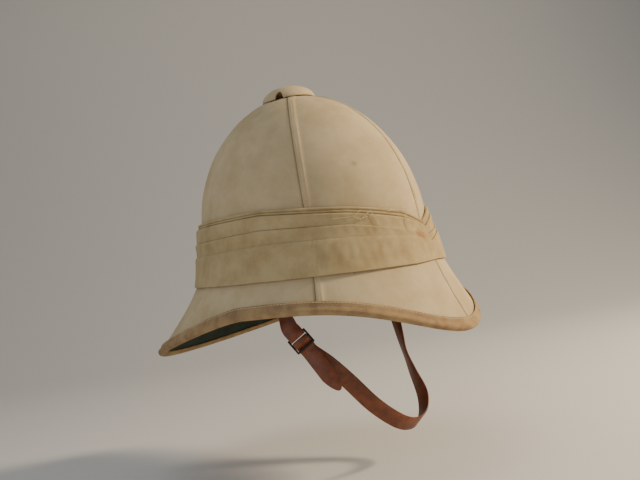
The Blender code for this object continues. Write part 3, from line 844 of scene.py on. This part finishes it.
# %% Binding
bearing = dense_ring(ring_bearings()[-1:], 1, BAND_DENSE)[0]
rim = rim_point(bearing)
normal = cover_normal(bearing, np.full(bearing.shape, 2.0))
outward = rim - flare_control(bearing)
outward /= np.linalg.norm(outward, axis=-1, keepdims=True)
stack = CLOTH + SHELL_AT_RIM + LINING + 2 * GAP
leg_top = FELL_HEIGHT + GAP + BINDING_THICKNESS
profile = [(BINDING_WIDTH, leg_top), (0.0110, leg_top + LEG_CREST), (0.0094, leg_top + LEG_CREST * 1.5),
           (0.0078, leg_top + LEG_CREST), (0.0066, leg_top - 0.0003), (0.0056, leg_top - 0.0003)]
for step in range(ROLL_STEPS):
    turn = math.radians(ROLL_TURN * (1 - 2 * step / (ROLL_STEPS - 1)))
    profile.append((ROLL_RADIUS * (1 - math.cos(turn)), -stack / 2 + ROLL_RADIUS * math.sin(turn)))
profile += [(0.0060, -stack - GAP - BINDING_THICKNESS), (0.0090, -stack - GAP - BINDING_THICKNESS)]
ripple = BINDING_RIPPLE * np.sin(340 * bearing + 3 * np.sin(11 * bearing))
rows = [rim - outward * inset + normal * (height + ripple * (inset > 0.005))[:, None]
        for inset, height in profile]
binding = add_surface("rim_binding", np.array(rows), TAPE, closed=True)
thicken(binding, BINDING_THICKNESS * CLOTH_WALL_SHARE)
add_piece(binding, ["brim_binding"])

# %% Ventilator button, straps and buckle
button = build_ventilator(DRILL)
add_piece(button, ["ventilator_cap"])
near_strap, far_strap = build_straps(LEATHER)
add_piece(near_strap, ["chin_strap_short"])
add_piece(far_strap, ["chin_strap_long"])

down, across, out = buckle_axes()
bars = []
place = BUCKLE_LENGTH / 2 - BUCKLE_BAR / 2
side = BUCKLE_WIDTH / 2 - BUCKLE_BAR / 2
ends = [((-side, -place), (side, -place)), ((side, -place), (side, place)), ((side, place), (-side, place)),
        ((-side, place), (-side, -place)), ((-side, 0), (side, 0))]
for number, (start, stop) in enumerate(ends):
    sections = []
    for u, v in (start, stop):
        middle = np.array(BUCKLE_CENTRE) + across * u + down * v
        ahead = unit(across * (stop[0] - start[0]) + down * (stop[1] - start[1]))
        sideways = np.cross(out, ahead)
        ring = [middle + (sideways * math.cos(a) + out * math.sin(a)) * BUCKLE_BAR / 2
                for a in np.linspace(0, 2 * math.pi, BAR_SIDES, endpoint=False)]
        sections.append(ring)
    bars.append(add_loft(f"buckle_bar_{number + 1}", np.array(sections), BUCKLE_BLACK, closed=False))
for u, v in ((-side, -place), (side, -place), (side, place), (-side, place)):
    middle = np.array(BUCKLE_CENTRE) + across * u + down * v
    rings = []
    for tilt in np.linspace(-1.5, 1.5, 9):
        rings.append([middle + (across * math.cos(a) * math.cos(tilt) + down * math.sin(a) * math.cos(tilt)
                                + out * math.sin(tilt)) * BUCKLE_BAR / 2
                      for a in np.linspace(0, 2 * math.pi, BAR_SIDES, endpoint=False)])
    bars.append(add_loft("buckle_corner", np.array(rings), BUCKLE_BLACK, closed=False))
buckle = join("slide_buckle", bars)
add_piece(buckle, ["strap_buckle"])
print("straps and buckle:", near_strap.name, far_strap.name, buckle.name)

# %% [markdown]
# ## Stitches and threads
# Stitches are short beads of thread laid end to end along the seams and the binding.
# Frayed threads hang above the band where it has worn.

# %% Thread
def tube(points, radius, sides=5):
    """Sections of a round thread along points, for one loft."""
    points = np.asarray(points, dtype=float)
    ahead = np.gradient(points, axis=0)
    ahead /= np.linalg.norm(ahead, axis=1, keepdims=True)
    aside = np.cross(ahead, (0.3, 0.5, 0.8))
    aside /= np.linalg.norm(aside, axis=1, keepdims=True)
    over = np.cross(ahead, aside)
    turns = np.linspace(0, 2 * math.pi, sides, endpoint=False)
    rings = [[p + (a * math.cos(t) + b * math.sin(t)) * radius for t in turns]
             for p, a, b in zip(points, aside, over)]
    return np.array(rings)


def threads(name, runs, radius):
    """One node out of many short threads."""
    points, faces = [], []
    for run in runs:
        rings = tube(run, radius)
        count, sides = rings.shape[:2]
        base = len(points)
        points += list(rings.reshape(-1, 3))
        for i in range(count - 1):
            for k in range(sides):
                n = (k + 1) % sides
                faces.append((base + i * sides + k, base + i * sides + n,
                              base + (i + 1) * sides + n, base + (i + 1) * sides + k))
        faces.append(tuple(base + k for k in reversed(range(sides))))
        faces.append(tuple(base + (count - 1) * sides + k for k in range(sides)))
    made = add_mesh(name, points, faces, THREAD)
    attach(made, "root")
    helmet_pieces.append(made)
    return made


def stitch_runs(line, rise):
    """Three-point arcs for each stitch along a line of surface points."""
    line = np.asarray(line)
    length = np.concatenate([[0], np.cumsum(np.linalg.norm(np.diff(line, axis=0), axis=1))])
    runs = []
    for start in np.arange(0, length[-1] - STITCH_PITCH, STITCH_PITCH):
        at = np.array([0.0, 0.5, 1.0]) * STITCH_LENGTH + start
        arc = np.stack([np.interp(at, length, line[:, k]) for k in range(3)], axis=1)
        bow = np.stack([np.interp(at, length, rise[:, k]) for k in range(3)], axis=1)
        runs.append(arc + bow * np.array([[-0.3], [0.7], [-0.3]]) * STITCH_RADIUS)
    return runs


runs = []
for number in range(len(SEAM_BEARINGS)):
    coarse = panel_bearings(number, True, GAP / 2)
    stations = dense(row_stations(coarse), DENSE, DENSE)
    bearings = dense(coarse, DENSE, DENSE)
    column = DENSE // 2
    line = layer_point(bearings[:, column], stations[:, column], np.full(len(bearings), FELL_HEIGHT))
    runs += stitch_runs(line[4:-6], cover_normal(bearings[:, column], stations[:, column])[4:-6])
threads("seam_stitches", runs, STITCH_RADIUS * 0.6)
ring = np.append(bearing, bearing[0] + 2 * math.pi)
line = rim_point(ring)
ring_out = line - flare_control(ring)
ring_out /= np.linalg.norm(ring_out, axis=-1, keepdims=True)
ring_normal = cover_normal(ring, np.full(ring.shape, 2.0))
line = line - ring_out * 0.0098 + ring_normal * (leg_top + LEG_CREST * 1.5)
threads("binding_stitches", stitch_runs(line, ring_normal), STITCH_RADIUS * 0.8)

FRAYS = (
    ((-0.0646, -0.0883, 0.043), (-0.0605, -0.0925, 0.0475), (-0.057, -0.095, 0.050)),
    ((-0.032, -0.1104, 0.0474), (-0.029, -0.1115, 0.0495), (-0.0255, -0.1128, 0.0474)),
    ((-0.0684, -0.084, 0.0474), (-0.064, -0.088, 0.0445), (-0.0595, -0.093, 0.0455)),
    ((-0.0432, -0.1049, 0.0474), (-0.038, -0.108, 0.0492), (-0.032, -0.1104, 0.0474)),
    ((-0.0786, -0.0702, 0.0474), (-0.0684, -0.084, 0.0474), (-0.0632, -0.0891, 0.0518)),
    ((-0.057, -0.095, 0.050), (-0.055, -0.097, 0.043), (-0.0525, -0.0997, 0.035)),
    ((-0.0506, -0.0998, 0.0518), (-0.047, -0.103, 0.050), (-0.0432, -0.1049, 0.0474)),
    ((-0.0255, -0.1128, 0.0474), (-0.0289, -0.1121, 0.0372), (-0.0276, -0.1141, 0.0275)),
)
runs = []
for fray in FRAYS:
    path = smooth_route(fray, 8)
    stand_off = path * np.array([1.0, 1.0, 0.0])
    stand_off /= np.linalg.norm(stand_off, axis=1, keepdims=True)
    runs.append(path + stand_off * FRAY_STAND_OFF)
threads("frayed_threads", runs, FRAY_RADIUS)
print("threads done, pieces:", len(helmet_pieces))

# %% [markdown]
# ## Room and camera
# A plain pale floor and backdrop, a key light from the camera's right and a soft fill.

# %% Stage
FLOOR_HEIGHT = LOW[2] - 0.03
pale = bpy.data.materials.new("pale_floor")
pale.use_nodes = True
pale.node_tree.nodes["Principled BSDF"].inputs["Base Color"].default_value = linear("#dcdad5")
pale.node_tree.nodes["Principled BSDF"].inputs["Roughness"].default_value = 0.9
SWEEP_START = 0.9
SWEEP_RADIUS = 1.2
BACKDROP_TOP = 3.0
BACKDROP_HALF_WIDTH = 6.0


def sweep_floor():
    """Floor that curves up into a backdrop behind the helmet, away from the camera."""
    away = np.array([0.85, 0.527])
    aside = np.array([-away[1], away[0]])
    turns = np.linspace(0, math.pi / 2, 17)
    profile = [(-4.0, 0.0)] + [(SWEEP_START + SWEEP_RADIUS * math.sin(a), SWEEP_RADIUS * (1 - math.cos(a)))
                               for a in turns] + [(SWEEP_START + SWEEP_RADIUS, BACKDROP_TOP)]
    points = []
    for far, up in profile:
        for side in (-BACKDROP_HALF_WIDTH, BACKDROP_HALF_WIDTH):
            points.append((*(away * far + aside * side), FLOOR_HEIGHT + up))
    faces = [(2 * i, 2 * i + 2, 2 * i + 3, 2 * i + 1) for i in range(len(profile) - 1)]
    return add_mesh("floor", points, faces, pale)


sweep_floor()

CAMERA_PLACE = (-0.6356, -0.4013, 0.0187)
CAMERA_RIGHT = (0.5235, -0.8393, -0.1467)
CAMERA_UP = (0.0612, -0.1347, 0.9890)
CAMERA_AHEAD = (0.8499, 0.5267, 0.0192)
camera_data = bpy.data.cameras.new("camera")
camera_data.lens = 41.87
camera_data.sensor_width = 36.0
camera = bpy.data.objects.new("camera", camera_data)
bpy.context.scene.collection.objects.link(camera)
axes = Matrix((CAMERA_RIGHT, CAMERA_UP, [-v for v in CAMERA_AHEAD])).transposed().to_4x4()
camera.matrix_world = Matrix.Translation(CAMERA_PLACE) @ axes
bpy.context.scene.camera = camera


def area_light(name, place, aim, size, watts, colour):
    """Soft square lamp at a place, turned to a point."""
    data = bpy.data.lights.new(name, "AREA")
    data.size = size
    data.energy = watts
    data.color = linear(colour)[:3]
    lamp = bpy.data.objects.new(name, data)
    bpy.context.scene.collection.objects.link(lamp)
    lamp.location = place
    lamp.rotation_euler = (Vector(aim) - Vector(place)).to_track_quat("-Z", "Y").to_euler()


area_light("key", (0.62, -1.15, 0.62), (0, 0, 0.03), 0.22, 30, "#ffe9c8")
area_light("fill", (-1.5, 0.1, 0.5), (0, 0, 0.03), 1.4, 7, "#e6ecfa")
area_light("top", (-0.2, 0.3, 1.7), (0, 0, 0), 1.2, 5, "#ffffff")
world = bpy.data.worlds.new("room")
bpy.context.scene.world = world
world.use_nodes = True
world.node_tree.nodes["Background"].inputs["Color"].default_value = linear("#cfd2d4")
world.node_tree.nodes["Background"].inputs["Strength"].default_value = 0.3
